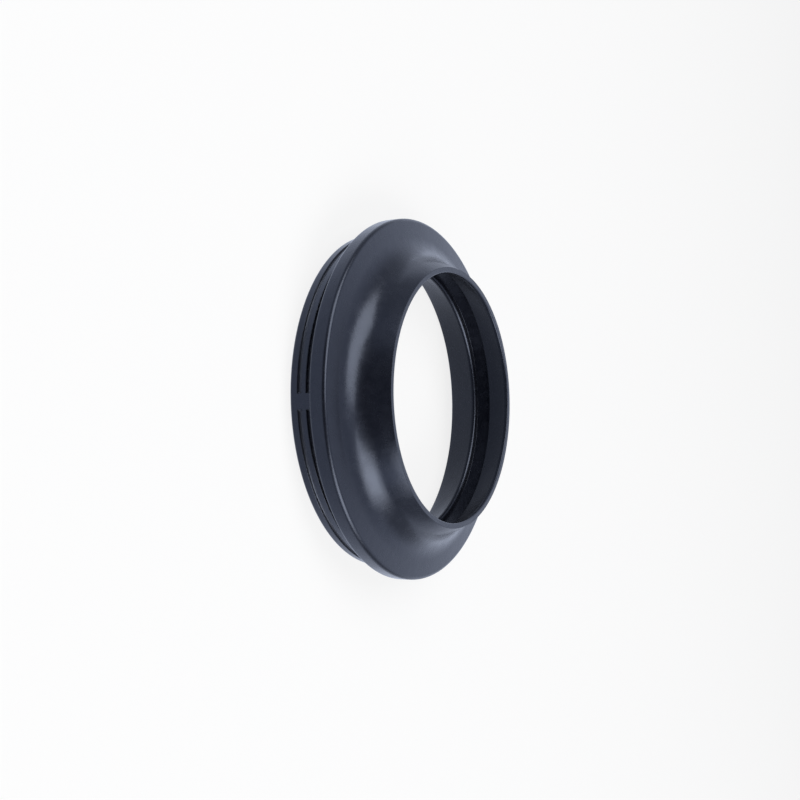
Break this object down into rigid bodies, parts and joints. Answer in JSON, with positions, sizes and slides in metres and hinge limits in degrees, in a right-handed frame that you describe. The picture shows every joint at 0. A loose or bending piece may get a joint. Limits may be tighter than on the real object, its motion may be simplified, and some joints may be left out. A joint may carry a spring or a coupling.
{
  "type": "fork dust cover",
  "caption": "Moulded rubber ring with a thin flared neck, a wide flange and a ribbed press-in body; it wipes a fork tube where it enters the fork leg.",
  "frame": {"origin": "centre of the rear annular face, which is the lowest plane of the ring", "axes": "+Z along the ring's axis, from the rear face towards the neck's rim; the key bar on the body points to -Y"},
  "size_m": [0.0582, 0.0582, 0.0137],
  "materials": {
    "rubber": "smooth semi-gloss black rubber with a faint moulding texture"
  },
  "bodies": {
    "root": {"dust_cover": "rubber"}
  },
  "joints": []
}
